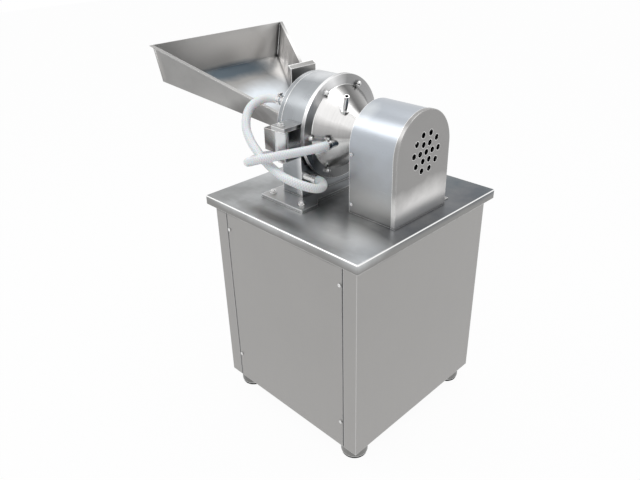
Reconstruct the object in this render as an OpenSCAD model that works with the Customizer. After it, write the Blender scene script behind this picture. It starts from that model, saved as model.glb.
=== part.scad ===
// Water-cooled pin mill on a closed cabinet, with a feed tray on the chamber door.
// Millimetres, +Z up. X runs along the mill shaft, from the feed tray to the belt guard.

/* [Cabinet] */
// Side of the square table top
table_w = 550; // [500:1:620]
// Height of the table top above the floor
table_h = 635; // [600:1:700]
// Height of the turned-down table edge
skirt_h = 25; // [18:1:40]
// Distance that the table stands out past the cabinet
overhang = 18; // [12:1:24]
// Thickness of the sheet metal
sheet_t = 2; // [1.5:0.1:2.5]
// Radius of the fold round the table edge
fold_r = 4; // [3:0.5:5]
// Width of the side sheets' flanges on the front and rear
flange_w = 42; // [36:1:50]
// Gap between a service panel and the flanges
panel_gap = 3; // [2:0.5:4]
// Width of the inner frame's angle legs
angle_leg = 30; // [25:1:35]
// Thickness of the inner frame's angles
angle_t = 3; // [2.5:0.5:4]
// Height of the screws above the panel's lower edge and below its upper edge
panel_screw_inset = 85; // [60:1:100]
// Distance from a panel's side edge to its screws
panel_screw_edge = 7; // [6:0.5:10]

/* [Feet] */
// Diameter of a foot
foot_d = 73; // [60:1:80]
// Height of a foot
foot_h = 41; // [35:1:50]
// Distance from the cabinet's faces to a foot's centre
foot_inset = 44; // [42:1:60]
// Diameter of the studs that hold the feet
foot_stud_d = 12; // [10:1:14]

/* [Mill chamber] */
// Height of the shaft above the table
shaft_h = 172; // [165:1:185]
// Distance of the shaft from the table's middle plane
shaft_y = 8; // [0:1:15]
// Radius of the drum and the door
drum_r = 129; // [127:1:132]
// Radius of the chamber's bore
bore_r = 108; // [107:1:110]
// Length of the drum along the shaft
drum_len = 82; // [78:1:84]
// Length of the flat-sided pedestal along the shaft
pedestal_len = 72; // [70:1:74]
// Thickness of the rear cover plate
cover_t = 11; // [9:1:13]
// Radius of the rear cover plate
cover_r = 136.5; // [134:0.5:139]
// Radius of the water jacket's cone at the cover plate
jacket_r = 110; // [106:1:112]
// Length of the cone along the shaft
jacket_len = 85; // [82:1:88]
// Wall of the cone
jacket_wall = 3; // [2.5:0.5:4]
// Radius of the circle of cover bolts
bolt_ring_r = 118; // [117:0.5:119]
// Number of cover bolts
bolt_count = 6; // [6:2:8]
// Diameter of the cover bolts
cover_bolt_d = 8; // [6:1:8]
// Thickness of the base plate
base_t = 8; // [6:1:10]
// Inner radius of the sieve ring
sieve_r = 100; // [99:0.5:102]
// Thickness of the sieve ring
sieve_t = 2; // [1.5:0.5:3]
// Diameter of a sieve hole
sieve_hole_d = 6; // [4:0.5:7]
// Number of sieve holes round the ring
sieve_hole_count = 24; // [18:1:30]

/* [Rotor] */
// Diameter of the main shaft
shaft_d = 30; // [28:1:34]
// Radius of the rotor disc
rotor_r = 80; // [79:0.5:84]
// Thickness of the rotor disc and the fixed pin disc
disc_t = 10; // [8:1:11]
// Diameter of a milling pin
pin_d = 8; // [6:0.5:8]
// Length of a milling pin
pin_len = 20; // [18:1:21]
// Distance between neighbouring rings of pins
ring_pitch = 11; // [10.5:0.25:11]
// Radius of the innermost ring of pins
first_ring_r = 51; // [50:0.5:52]

/* [Door and hinge] */
// Thickness of the door
door_t = 14; // [12:1:16]
// Diameter of the feed hole in the door
inlet_d = 76; // [70:1:78]
// Distance of the hinge pin from the shaft's plane
hinge_reach = 168; // [165:1:172]
// Distance of the hinge pin behind the door's inner face
hinge_back = 47; // [44:1:50]
// Diameter of the hinge pin
hinge_pin_d = 16; // [14:1:18]
// Diameter of the hinge barrel
barrel_d = 35; // [33:1:38]
// Height of the barrel's top above the shaft
barrel_top = 23.5; // [22:0.5:26]
// Length of the hinge barrel
barrel_len = 65; // [60:1:70]
// Thickness of the hinge plates
hinge_plate_t = 10; // [8:1:12]

/* [Feed tray] */
// Length of the tray
tray_len = 342; // [300:1:360]
// Width over the rim at the far end
tray_end_w = 466; // [420:1:480]
// Width of the floor at the far end
tray_floor_w = 431; // [400:1:440]
// Width over the rim at the throat
throat_w = 134; // [124:1:140]
// Width of the floor at the throat
throat_floor_w = 28; // [24:1:40]
// Depth of the tray at its far end
tray_end_depth = 103; // [90:1:115]
// Depth of the tray at the throat
throat_depth = 76; // [72:1:80]
// Drop of the rim from the far end to the throat
rim_drop = 166; // [150:1:175]
// Width of the lips along the tray's long sides
tray_lip = 9; // [6:1:12]
// Width of the feed gate
gate_w = 88; // [84:1:92]
// Height of the feed gate
gate_h = 125; // [115:1:130]
// Travel of the feed gate
gate_travel = 64; // [50:1:65]
// Length of the folded grip on the gate
gate_lip = 11; // [8:1:14]

/* [Drive] */
// Radius of the belt guard
guard_r = 100; // [95:1:105]
// Length of the belt guard along the shaft
guard_len = 147; // [140:1:155]
// Gap between the table's middle and the guard
guard_start = 82; // [78:1:86]
// Distance of the guard's arch centre below the shaft
guard_drop = 4; // [0:1:6]
// Diameter of a vent hole
vent_d = 15; // [12:0.5:15]
// Radius of the inner ring of vent holes
vent_ring_r = 23.5; // [22:0.5:26]
// Number of vent holes in the outer ring
vent_outer_count = 10; // [8:1:12]
// Outer diameter of the mill pulley
mill_pulley_d = 88; // [84:1:96]
// Outer diameter of the motor pulley
motor_pulley_d = 128; // [120:1:136]
// Width of a belt at its back
belt_w = 12; // [10:0.5:13]
// Thickness of a belt
belt_t = 8; // [7:0.5:9]
// Number of belts
belt_count = 2; // [1:1:2]
// Diameter of the motor's body
motor_d = 200; // [180:1:210]
// Height of the motor's shaft above its feet
motor_shaft_h = 112; // [112:1:120]
// Diameter of the motor's shaft
motor_shaft_d = 28; // [24:1:32]
// Height of the motor's feet above the floor
motor_base_h = 138; // [130:1:150]
// Diameter of the bearing tube
bearing_tube_d = 76; // [72:1:80]
// Outer diameter of a bearing
bearing_d = 62; // [60:1:64]

/* [Water hoses] */
// Outer diameter of a hose
hose_d = 23; // [20:0.5:24]
// Diameter of a water nipple
nipple_d = 12.5; // [11:0.5:14]
// Width of a hose clamp
clamp_w = 11; // [9:1:13]
// Length of the open nipple
open_nipple_len = 49; // [44:1:54]

/* [Discharge] */
// Outer diameter of the bag spout
spout_d = 110; // [100:1:116]
// Distance that the bag spout stands out of the cabinet
spout_out = 60; // [50:1:80]
// Height of the bag spout's centre above the floor
spout_h = 470; // [450:1:490]
// Width of the discharge duct
duct_w = 76; // [70:1:84]

/* [Fits] */
// Gap between a hose and its clamp, and between a rotor's faces and their seats
face_gap = 0.3; // [0.25:0.05:0.4]
// Gap between a pin and a part that turns on it, on the radius
running_gap = 0.1; // [0.05:0.05:0.15]
// Gap under the barrel and above it
hinge_play = 0.5; // [0.4:0.1:1]

/* [Hidden] */
$fn = 64;

steel = [0.74, 0.75, 0.76];
polished = [0.86, 0.87, 0.88];
dark_steel = [0.5, 0.51, 0.52];
paint = [0.3, 0.36, 0.42];
rubber = [0.1, 0.1, 0.1];
hose_white = [0.93, 0.95, 0.96];

// Cabinet
cabinet_w = table_w - 2 * overhang;
wall_top = table_h - sheet_t;
panel_w = cabinet_w - 2 * (flange_w + panel_gap);
upright_leg = flange_w + panel_gap + 2 * panel_screw_edge;
inside_w = cabinet_w - 2 * sheet_t;
panel_screw_d = 5;
panel_head_d = 9;
panel_head_t = 2.5;
gland_h = 84;
gland_d = 22;
rail_h = 30;
foot_ring_h = 8;
foot_ring_inset = 2.5;
foot_ring_seat = 4;

// Mill, along the shaft from the door to the water jacket
axis_z = table_h + shaft_h;
drum_back = -47;
drum_front = drum_back - drum_len;
pedestal_back = drum_front + pedestal_len;
cover_back = drum_back + cover_t;
jacket_back = cover_back + jacket_len;
neck_r = bearing_tube_d / 2 + jacket_wall;
open_nipple_x = cover_back + 47.6;
open_nipple_y = shaft_y - 39.9;
open_nipple_z = axis_z + 59.1;
open_nipple_tilt = 26;
open_nipple_turn = -32;
ear_x0 = drum_front - 26;
ear_x1 = drum_back + 48;
ear_y = 174;
base_bolt_d = 10;
base_nut_d = 15;
base_nut_h = 5;
base_washer_t = 1.5;
chute_w = duct_w - 2 * sheet_t;
chute_x0 = drum_front + 12;
chute_x1 = pedestal_back - 9;
sieve_front = drum_front + 10;
rotor_back = drum_back - 31;
rotor_front = rotor_back - disc_t;
hub_r = 26;
hub_back = drum_back - face_gap;

// Door and hinge
door_back = drum_front - face_gap;
door_front = door_back - door_t;
hinge_x = drum_front + hinge_back;
hinge_y = shaft_y - hinge_reach;
barrel_bottom = barrel_top - barrel_len;
leaf_y1 = hinge_y + hinge_plate_t / 2;
leaf_y0 = leaf_y1 - hinge_plate_t;
leaf_top = axis_z + barrel_top - 5.5;
leaf_bottom = axis_z + barrel_bottom + 1.5;
lug_x0 = hinge_x - 22;
lug_x1 = hinge_x + 26;
lug_corner_r = 4;
lug_root = 14;
lug_top = axis_z + barrel_top + hinge_play + hinge_plate_t;
lug_bottom = axis_z + barrel_bottom - hinge_play - hinge_plate_t;
pin_nut_h = 8;
inlet_z = axis_z - 16;
gasket_r = 112;
gasket_w = 10;
gasket_t = 3;

// Tray, gate and spout
spout_len = 26.4;
guide_w = 8;
guide_front = door_front - spout_len - guide_w;
gate_t = 2;
gate_x = guide_front + guide_w / 2;
tray_y = 6;
tray_end_x = guide_front - tray_len;
throat_rim_z = axis_z + 18;
throat_floor_z = throat_rim_z - throat_depth;
tray_stations = 8;
gate_bottom = throat_floor_z + sheet_t + gate_travel + 3;
guide_leg = 6;
gate_slot = gate_t + 2 * face_gap;
guide_top = axis_z + 66;
duct_floor_z = inlet_z - inlet_d / 2 - sheet_t;
duct_roof_z = inlet_z + inlet_d / 2 + sheet_t;

// Clamp on the far side of the door
clamp_y = shaft_y + drum_r + 24;
clamp_x = drum_front + 39;
clamp_lug_t = 10;
clamp_eye_h = 20;
clamp_eye_r = 14;
clamp_pin_d = 10;
clamp_shank_d = 12;
door_ear_h = 50;
door_ear_y = clamp_y + 18;
knob_hub_r = 14;
knob_r = 30;
knob_t = 18;
shank_end = door_front - knob_t - 22;

// Drive
pulley_x = guard_start + 72;
belt_pitch = belt_w + 5;
pulley_w = belt_count * belt_pitch + 6;
groove_t = belt_t + face_gap;
guard_z = axis_z - guard_drop;
guard_end = guard_start + guard_len;
motor_z = motor_base_h + motor_shaft_h;
motor_gap = 18;
motor_len = 1.61 * motor_d;
motor_x1 = pulley_x - pulley_w / 2 - motor_gap;
motor_x0 = motor_x1 - motor_len;
motor_cap_l = 60;
motor_plate_t = 8;
motor_plate_w = 1.3 * motor_d;
terminal_l = 90;
terminal_h = 80;
terminal_out = 34;
mill_belt_r = mill_pulley_d / 2;
motor_belt_r = motor_pulley_d / 2;
belt_centres = axis_z - motor_z;
belt_lean = asin((motor_belt_r - mill_belt_r) / belt_centres);
belt_steps = 32;
tube_back = guard_start + 36;
bearing_w = 16;
foot_web_w = 40;
belt_slot_w = motor_pulley_d + 16;
vent_y = shaft_y + 7.5;
vent_z = guard_z - 2;
vent_outer_ratio = 1.98;
guard_fold = 18;
guard_screw_d = 4;
guard_lip = 12;
guard_tab_w = 26;
guard_tab_x = guard_end - guard_lip - guard_tab_w / 2;
guard_lip_t = 1.5;
guard_plate_t = 2 * guard_lip_t;
guard_screw_z = [guard_z - 12, guard_z - 143];

// Discharge and switches
duct_x0 = chute_x0 - sheet_t;
duct_x1 = chute_x1 + sheet_t;
duct_bottom = spout_h - spout_d / 2 - 12;
spout_end = -cabinet_w / 2 - spout_out;
spout_pipe_d = spout_d - 2 * sheet_t;
switch_y = cabinet_w / 2 - 85;
switch_z = 500;
switch_w = 70;
switch_h = 130;
switch_t = 45;
button_d = 22;
button_stand = 9;
button_pitch = 50;

// The box of the whole machine is centred on X = 0, with the tray's end wall on its left.
shift_x = -(tray_end_x + table_w / 2) / 2;

// Hose routes: X, Y and the height above the table top
hose_upper_route = [[-158, -86, 239], [-182, -86, 239], [-203, -96, 239], [-217, -114, 234],
    [-223, -135, 224], [-220, -153, 210], [-211, -167, 194], [-198, -178, 176], [-181, -185, 161],
    [-162, -190, 147], [-142, -194, 137], [-121, -198, 126], [-99, -201, 118], [-77, -203, 110],
    [-54, -205, 104], [-31, -208, 100], [-8, -207, 97], [13, -199, 91], [29, -184, 83],
    [36, -163, 74], [33, -140, 68], [19, -120, 65], [-1, -108, 65], [-25, -108, 65]];
hose_lower_route = [[5, -80, 157], [5, -97, 157], [-1, -114, 156], [-11, -131, 153],
    [-21, -147, 151], [-32, -164, 149], [-42, -182, 148], [-55, -198, 145], [-70, -211, 141],
    [-87, -222, 136], [-106, -227, 129], [-125, -226, 121], [-143, -220, 113], [-159, -211, 106],
    [-175, -200, 98], [-190, -187, 91], [-203, -173, 84], [-213, -156, 80], [-219, -137, 80],
    [-219, -117, 80], [-211, -98, 80], [-197, -83, 80], [-179, -76, 80], [-158, -76, 80]];
hose_sides = 12;
upper_start = hose_upper_route[0];
upper_end = hose_upper_route[len(hose_upper_route) - 1];
lower_start = hose_lower_route[0];
lower_end = hose_lower_route[len(hose_lower_route) - 1];

// Moves a piece from the machine's own frame to the shared one
module place() { translate([shift_x, 0, 0]) children(); }

// A block between two opposite corners
module block(a, b) { translate(a) cube(b - a); }

// Round bars along each axis
module bar_x(d, x0, x1, y, z) { translate([x0, y, z]) rotate([0, 90, 0]) cylinder(d = d, h = x1 - x0); }
module bar_y(d, y0, y1, x, z) { translate([x, y1, z]) rotate([90, 0, 0]) cylinder(d = d, h = y1 - y0); }
module bar_z(d, z0, z1, x, y) { translate([x, y, z0]) cylinder(d = d, h = z1 - z0); }

// A flat outline in Y and Z, made solid from x0 to x1
module along_x(x0, x1) { translate([x0, 0, 0]) rotate([90, 0, 90]) linear_extrude(x1 - x0) children(); }

// An outline in radius and X, turned round the shaft
module turned(x, y, z) { translate([x, y, z]) rotate([0, 90, 0]) rotate_extrude() children(); }

// A hexagon head or nut along X
module hex_x(af, x0, x1, y, z) {
    translate([x0, y, z]) rotate([0, 90, 0]) cylinder(d = af / cos(30), h = x1 - x0, $fn = 6);
}

// A hexagon head or nut along Z
module hex_z(af, z0, z1, x, y) { translate([x, y, z0]) cylinder(d = af / cos(30), h = z1 - z0, $fn = 6); }

// A plate with rounded corners, lying flat
module rounded_plate(a, b, r, z0, z1) {
    translate([0, 0, z0]) linear_extrude(z1 - z0) {
        translate([a[0] + r, a[1]]) square([b[0] - a[0] - 2 * r, b[1] - a[1]]);
        translate([a[0], a[1] + r]) square([b[0] - a[0], b[1] - a[1] - 2 * r]);
        for (x = [a[0] + r, b[0] - r], y = [a[1] + r, b[1] - r]) translate([x, y]) circle(r);
    }
}

// Outline of an arch that stands on the height z0
module arch(r, centre_z, z0) {
    translate([shaft_y, centre_z]) circle(r);
    translate([shaft_y - r, z0]) square([2 * r, centre_z - z0]);
}

// Places the children at every corner of a square
module corners(inset) {
    for (sx = [-1, 1], sy = [-1, 1]) translate([sx * inset, sy * inset, 0]) children();
}

// Cabinet

module upright() {
    block([-upright_leg, -angle_t, 0], [0, 0, wall_top - foot_h]);
    block([-angle_t, -angle_leg, 0], [0, 0, wall_top - foot_h]);
}

module frame() color(dark_steel) difference() {
    union() {
        for (sx = [0, 1], sy = [0, 1]) mirror([sx, 0, 0]) mirror([0, sy, 0])
            translate([inside_w / 2, inside_w / 2, foot_h]) upright();
        for (sy = [0, 1]) mirror([0, sy, 0]) {
            block([-inside_w / 2, inside_w / 2 - angle_t, foot_h], [inside_w / 2, inside_w / 2, foot_h + rail_h]);
            block([-inside_w / 2, inside_w / 2 - angle_t, wall_top - rail_h], [inside_w / 2, inside_w / 2, wall_top]);
            block([-inside_w / 2, inside_w / 2 - angle_leg, motor_base_h - motor_plate_t - rail_h],
                [inside_w / 2, inside_w / 2 - angle_t, motor_base_h - motor_plate_t - rail_h + angle_t]);
            block([-inside_w / 2, inside_w / 2 - angle_t, motor_base_h - motor_plate_t - rail_h],
                [inside_w / 2, inside_w / 2, motor_base_h - motor_plate_t]);
        }
        for (sx = [0, 1]) mirror([sx, 0, 0]) {
            block([inside_w / 2 - angle_t, -inside_w / 2, foot_h], [inside_w / 2, inside_w / 2, foot_h + rail_h]);
            block([inside_w / 2 - angle_t, -inside_w / 2, wall_top - rail_h],
                [inside_w / 2, inside_w / 2, wall_top]);
        }
        for (x = [motor_x0 + 90, motor_x1 - 60])
            block([x, -inside_w / 2, motor_base_h - motor_plate_t - rail_h],
                [x + angle_leg, inside_w / 2, motor_base_h - motor_plate_t]);
        corners(cabinet_w / 2 - foot_inset)
            translate([-foot_inset + sheet_t, -foot_inset + sheet_t, foot_h])
                cube([2 * foot_inset - 2 * sheet_t, 2 * foot_inset - 2 * sheet_t, angle_t + 1]);
    }
    corners(cabinet_w / 2 - foot_inset) bar_z(foot_stud_d, foot_h - 1, foot_h + 20, 0, 0);
    panel_holes(-1);
    panel_holes(1);
    bar_y(gland_d, inside_w / 2 - 10, cabinet_w / 2, 0, gland_h);
}

// Screw holes of the panel on one side, which also pass through the frame
module panel_holes(side) {
    for (sx = [-1, 1], z = [foot_h + panel_screw_inset, wall_top - panel_screw_inset])
        bar_y(panel_screw_d, min(side * inside_w / 2, side * cabinet_w / 2) - 6,
            max(side * inside_w / 2, side * cabinet_w / 2) + 6, sx * (panel_w / 2 - panel_screw_edge), z);
}

module side_sheet() {
    block([cabinet_w / 2 - sheet_t, -cabinet_w / 2, foot_h], [cabinet_w / 2, cabinet_w / 2, wall_top]);
    for (sy = [0, 1]) mirror([0, sy, 0])
        block([cabinet_w / 2 - flange_w, cabinet_w / 2 - sheet_t, foot_h], [cabinet_w / 2, cabinet_w / 2, wall_top]);
}

module side_sheet_left() color(steel) difference() {
    mirror([1, 0, 0]) side_sheet();
    bar_x(spout_pipe_d, -cabinet_w / 2 - 1, -cabinet_w / 2 + sheet_t + 1, shaft_y, spout_h);
}

module side_sheet_right() color(steel) side_sheet();

module panel() {
    block([-panel_w / 2, -cabinet_w / 2, foot_h], [panel_w / 2, -cabinet_w / 2 + sheet_t, wall_top]);
}

module front_panel() color(steel) difference() {
    panel();
    panel_holes(-1);
}

module rear_panel() color(steel) difference() {
    mirror([0, 1, 0]) panel();
    panel_holes(1);
    bar_y(gland_d, cabinet_w / 2 - 10, cabinet_w / 2 + 1, 0, gland_h);
}

module panel_screw() difference() {
    union() {
        bar_y(panel_head_d, -panel_head_t, 0, 0, 0);
        bar_y(panel_screw_d, 0, sheet_t + angle_t, 0, 0);
    }
    block([-panel_head_d, -panel_head_t - 1, -0.6], [panel_head_d, -panel_head_t + 1, 0.6]);
}

module panel_screws() color(polished)
    for (sy = [0, 1]) mirror([0, sy, 0])
        for (sx = [-1, 1], z = [foot_h + panel_screw_inset, wall_top - panel_screw_inset])
            translate([sx * (panel_w / 2 - panel_screw_edge), -cabinet_w / 2, z])
                rotate([0, 40 * sx, 0]) panel_screw();

// Table edge with a rounded fold, solid
module table_block(w, r) {
    flat = w / 2 - r;
    block([-flat, -flat, table_h - skirt_h], [flat, flat, table_h]);
    for (a = [0:90:270]) rotate([0, 0, a]) {
        block([flat - 1, -flat, table_h - skirt_h], [w / 2, flat, table_h - r]);
        bar_y(2 * r, -flat, flat, flat, table_h - r);
        bar_z(2 * r, table_h - skirt_h, table_h - r, flat, flat);
        translate([flat, flat, table_h - r]) sphere(r);
    }
}

module table_top() color(steel) difference() {
    table_block(table_w, fold_r);
    block([-table_w / 2 + sheet_t, -table_w / 2 + sheet_t, table_h - skirt_h - 1],
        [table_w / 2 - sheet_t, table_w / 2 - sheet_t, wall_top]);
    block([duct_x0, shaft_y - duct_w / 2, wall_top - 1], [duct_x1, shaft_y + duct_w / 2, table_h + 1]);
    block([pulley_x - pulley_w / 2 - 6, shaft_y - belt_slot_w / 2, wall_top - 1],
        [pulley_x + pulley_w / 2 + 6, shaft_y + belt_slot_w / 2, table_h + 1]);
    base_bolt_places() bar_z(base_bolt_d, wall_top - 1, table_h + 1, 0, 0);
}

module foot_cups() color(steel) corners(cabinet_w / 2 - foot_inset) difference() {
    union() {
        translate([0, 0, foot_ring_h]) rotate_extrude() {
            square([foot_d / 2, foot_h - foot_ring_h - 2]);
            square([foot_d / 2 - 2, foot_h - foot_ring_h]);
            translate([foot_d / 2 - 2, foot_h - foot_ring_h - 2]) circle(2, $fn = 32);
        }
        bar_z(foot_stud_d, foot_h - 1, foot_h + 16, 0, 0);
    }
    bar_z(foot_d - 2 * foot_ring_inset, 0, foot_ring_h + foot_ring_seat, 0, 0);
}

module foot_rubbers() color(rubber) corners(cabinet_w / 2 - foot_inset)
    bar_z(foot_d - 2 * foot_ring_inset, 0, foot_ring_h + foot_ring_seat, 0, 0);

module cable_gland() color(rubber) difference() {
    union() {
        bar_y(gland_d, inside_w / 2 - angle_t - 12, cabinet_w / 2, 0, gland_h);
        bar_y(gland_d + 8, cabinet_w / 2, cabinet_w / 2 + 8, 0, gland_h);
    }
    bar_y(gland_d / 2, inside_w / 2 - angle_t - 13, cabinet_w / 2 + 9, 0, gland_h);
}

// Drive

module motor_plate() color(dark_steel) difference() {
    block([motor_x0 + motor_cap_l, shaft_y - motor_plate_w / 2, motor_base_h - motor_plate_t],
        [motor_x1 - motor_gap, shaft_y + motor_plate_w / 2, motor_base_h]);
    motor_bolt_places() bar_z(10, motor_base_h - motor_plate_t - 1, motor_base_h + 1, 0, 0);
}

module motor_bolt_places() {
    for (x = [motor_x0 + 100, motor_x1 - 60], y = [-95, 95]) translate([x, shaft_y + y, 0]) children();
}

module motor_body() color(paint) difference() {
    union() {
        bar_x(motor_d, motor_x0 + 40, motor_x1 - 12, shaft_y, motor_z);
        bar_x(motor_d + 12, motor_x1 - 30, motor_x1 - 12, shaft_y, motor_z);
        bar_x(motor_d + 8, motor_x0, motor_x0 + motor_cap_l, shaft_y, motor_z);
        bar_x(motor_d / 2, motor_x1 - 14, motor_x1, shaft_y, motor_z);
        for (a = [0:15:345]) translate([0, shaft_y, motor_z]) rotate([a, 0, 0])
            block([motor_x0 + 50, -1.5, motor_d / 2 - 3], [motor_x1 - 20, 1.5, motor_d / 2 + 4]);
        for (x = [motor_x0 + 80, motor_x1 - 80], s = [-1, 1])
            block([x, shaft_y + s * 90 - 22, motor_base_h], [x + 40, shaft_y + s * 90 + 22, motor_z - 60]);
        block([motor_x0 + motor_len / 3, shaft_y - motor_d / 2 - terminal_out, motor_z - terminal_h / 2],
            [motor_x0 + motor_len / 3 + terminal_l, shaft_y - motor_d / 4, motor_z + terminal_h / 2]);
    }
    bar_x(motor_d - 10, motor_x0 - 1, motor_x0 + 6, shaft_y, motor_z);
    bar_x(motor_shaft_d + 2 * running_gap, motor_x0 + 30, motor_x1 + 1, shaft_y, motor_z);
    motor_bolt_places() bar_z(10, motor_base_h - 1, motor_base_h + 20, 0, 0);
}

module motor_shaft() color(polished)
    bar_x(motor_shaft_d, motor_x0 + 30 + face_gap, pulley_x + pulley_w / 2, shaft_y, motor_z);

// Section of a belt, or of a groove when grown: radius across, width along X
function belt_section(back_r, grow) = [[back_r + grow, -belt_w / 2 - grow], [back_r + grow, belt_w / 2 + grow],
    [back_r - belt_t - grow, belt_w / 3 + grow], [back_r - belt_t - grow, -belt_w / 3 - grow]];

module belt_places() {
    for (i = [0:belt_count - 1]) translate([pulley_x + (i - (belt_count - 1) / 2) * belt_pitch, 0, 0]) children();
}

module pulley(d, bore, z) difference() {
    bar_x(d, pulley_x - pulley_w / 2, pulley_x + pulley_w / 2, shaft_y, z);
    belt_places() turned(0, shaft_y, z) polygon(belt_section(d / 2, face_gap));
    bar_x(bore, pulley_x - pulley_w / 2 - 1, pulley_x + pulley_w / 2 + 1, shaft_y, z);
}

module motor_pulley() color(dark_steel) pulley(motor_pulley_d, motor_shaft_d, motor_z);
module mill_pulley() color(dark_steel) pulley(mill_pulley_d, shaft_d, axis_z);

// The belt's section at the angle a on a pulley of radius r, whose centre is at the height z
function belt_ring(r, z, a) = [for (p = belt_section(r, 0)) [p[1], shaft_y + p[0] * cos(a), z + p[0] * sin(a)]];

// One belt goes round each pulley and runs straight between them
function belt_rings() = concat(
    [for (i = [0:belt_steps]) belt_ring(motor_belt_r, motor_z, 180 - belt_lean + (180 + 2 * belt_lean) * i / belt_steps)],
    [for (i = [0:belt_steps]) belt_ring(mill_belt_r, axis_z, belt_lean + (180 - 2 * belt_lean) * i / belt_steps)]);

module v_belts() color(rubber) belt_places() closed_skin(belt_rings());

module main_shaft() color(polished) union() {
    bar_x(shaft_d, rotor_front - 8, pulley_x + pulley_w / 2 + 22, shaft_y, axis_z);
}

module bearing_tube() color(paint) difference() {
    union() {
        bar_x(bearing_tube_d, cover_back, tube_back, shaft_y, axis_z);
        along_x(jacket_back + 4, tube_back - 20)
            translate([shaft_y - foot_web_w / 2, table_h]) square([foot_web_w, shaft_h]);
        block([jacket_back - 4, shaft_y - foot_web_w / 2 - 8, table_h],
            [guard_start, shaft_y + foot_web_w / 2 + 8, table_h + base_t]);
    }
    bar_x(shaft_d + 6, cover_back - 1, tube_back + 1, shaft_y, axis_z);
    bar_x(bearing_d, cover_back - 1, cover_back + bearing_w, shaft_y, axis_z);
    bar_x(bearing_d, tube_back - bearing_w, tube_back + 1, shaft_y, axis_z);
}

module bearings() color(polished) for (x = [cover_back, tube_back - bearing_w]) difference() {
    bar_x(bearing_d, x, x + bearing_w, shaft_y, axis_z);
    bar_x(shaft_d + 2 * running_gap, x - 1, x + bearing_w + 1, shaft_y, axis_z);
}

module shaft_nuts() color(polished) {
    difference() {
        hex_x(42, rotor_front - 14, rotor_front, shaft_y, axis_z);
        bar_x(shaft_d, rotor_front - 8, rotor_front + 1, shaft_y, axis_z);
    }
    difference() {
        hex_x(46, pulley_x + pulley_w / 2, pulley_x + pulley_w / 2 + 14, shaft_y, axis_z);
        bar_x(shaft_d, pulley_x + pulley_w / 2 - 1, pulley_x + pulley_w / 2 + 15, shaft_y, axis_z);
    }
}

// Belt guard

module belt_guard() color(steel) difference() {
    union() {
        along_x(guard_start, guard_end - guard_plate_t) arch(guard_r, guard_z, table_h);
        block([guard_tab_x - guard_tab_w / 2, shaft_y + guard_r - 1, table_h],
            [guard_tab_x + guard_tab_w / 2, shaft_y + guard_r + 34, table_h + sheet_t]);
    }
    along_x(guard_start - 1, guard_end) arch(guard_r - sheet_t, guard_z, table_h - 1);
    guard_screw_places() bar_y(guard_screw_d, -1, 10, 0, 0);
    bar_z(8, table_h - 1, table_h + sheet_t + 1, guard_tab_x, shaft_y + guard_r + 18);
}

// Rim of the end plate: a lip over the wrap, with a rounded edge
module guard_end_plate() color(steel) difference() {
    union() {
        along_x(guard_end - guard_plate_t, guard_end) arch(guard_r, guard_z, table_h);
        difference() {
            along_x(guard_end - guard_lip, guard_end - guard_lip_t)
                arch(guard_r + guard_lip_t, guard_z, table_h);
            along_x(guard_end - guard_lip - 1, guard_end) arch(guard_r, guard_z, table_h - 1);
        }
        translate([guard_end - guard_lip_t, shaft_y, guard_z]) rotate([0, 90, 0]) rotate([0, 0, 90])
            rotate_extrude(angle = 180) translate([guard_r, 0]) circle(guard_lip_t, $fn = 32);
        for (s = [-1, 1]) bar_z(2 * guard_lip_t, table_h, guard_z, guard_end - guard_lip_t, shaft_y + s * guard_r);
    }
    translate([0, vent_y, vent_z]) {
        vent_hole(0, 0);
        for (i = [0:5]) vent_hole(vent_ring_r, i * 60);
        for (i = [0:vent_outer_count - 1]) vent_hole(vent_ring_r * vent_outer_ratio, i * 360 / vent_outer_count);
    }
}

module vent_hole(r, a) {
    rotate([a, 0, 0]) bar_x(vent_d, guard_end - guard_plate_t - 1, guard_end + 1, r, 0);
}

// The back plate's edge is folded along the inside of the wrap and takes its screws
module guard_back_plate() color(steel) difference() {
    along_x(guard_start, guard_start + guard_fold) arch(guard_r - sheet_t, guard_z, table_h);
    along_x(guard_start + sheet_t, guard_start + guard_fold + 1)
        arch(guard_r - 2 * sheet_t, guard_z, table_h - 1);
    bar_x(bearing_tube_d + 2, guard_start - 1, guard_start + sheet_t + 1, shaft_y, axis_z);
    along_x(guard_start - 1, guard_start + sheet_t + 1)
        translate([shaft_y - foot_web_w / 2 - 1, table_h - 1]) square([foot_web_w + 2, shaft_h]);
    guard_screw_places() bar_y(guard_screw_d, -1, 10, 0, 0);
}

module guard_screw_places() {
    for (z = guard_screw_z) translate([guard_start + guard_fold / 2, shaft_y - guard_r, z]) children();
}

module guard_screws() color(polished) {
    guard_screw_places() {
        bar_y(9, -2.5, 0, 0, 0);
        bar_y(guard_screw_d, 0, 8, 0, 0);
    }
    translate([guard_tab_x, shaft_y + guard_r + 18, table_h]) {
        hex_z(13, sheet_t, sheet_t + 5, 0, 0);
        bar_z(8, 0, sheet_t, 0, 0);
    }
}

// Mill

module base_bolt_places() {
    for (x = [ear_x0 + 18, ear_x1 - 28], s = [-1, 1])
        translate([x, shaft_y + s * (ear_y - 14), 0]) children();
}

module base_plate() color(steel) difference() {
    union() {
        translate([0, 0, table_h]) linear_extrude(base_t) {
            polygon([[ear_x0, shaft_y - ear_y - 12], [ear_x1, shaft_y - ear_y - 12],
                [ear_x1, shaft_y - drum_r], [cover_back + 16, shaft_y - drum_r + 20],
                [cover_back + 16, shaft_y + drum_r - 20], [ear_x1, shaft_y + drum_r],
                [ear_x1, shaft_y + ear_y + 12], [ear_x0, shaft_y + ear_y + 12]]);
        }
    }
    block([chute_x0, shaft_y - chute_w / 2, table_h - 1], [chute_x1, shaft_y + chute_w / 2, table_h + base_t + 1]);
    base_bolt_places() bar_z(base_bolt_d, table_h - 1, table_h + base_t + 1, 0, 0);
}

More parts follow.
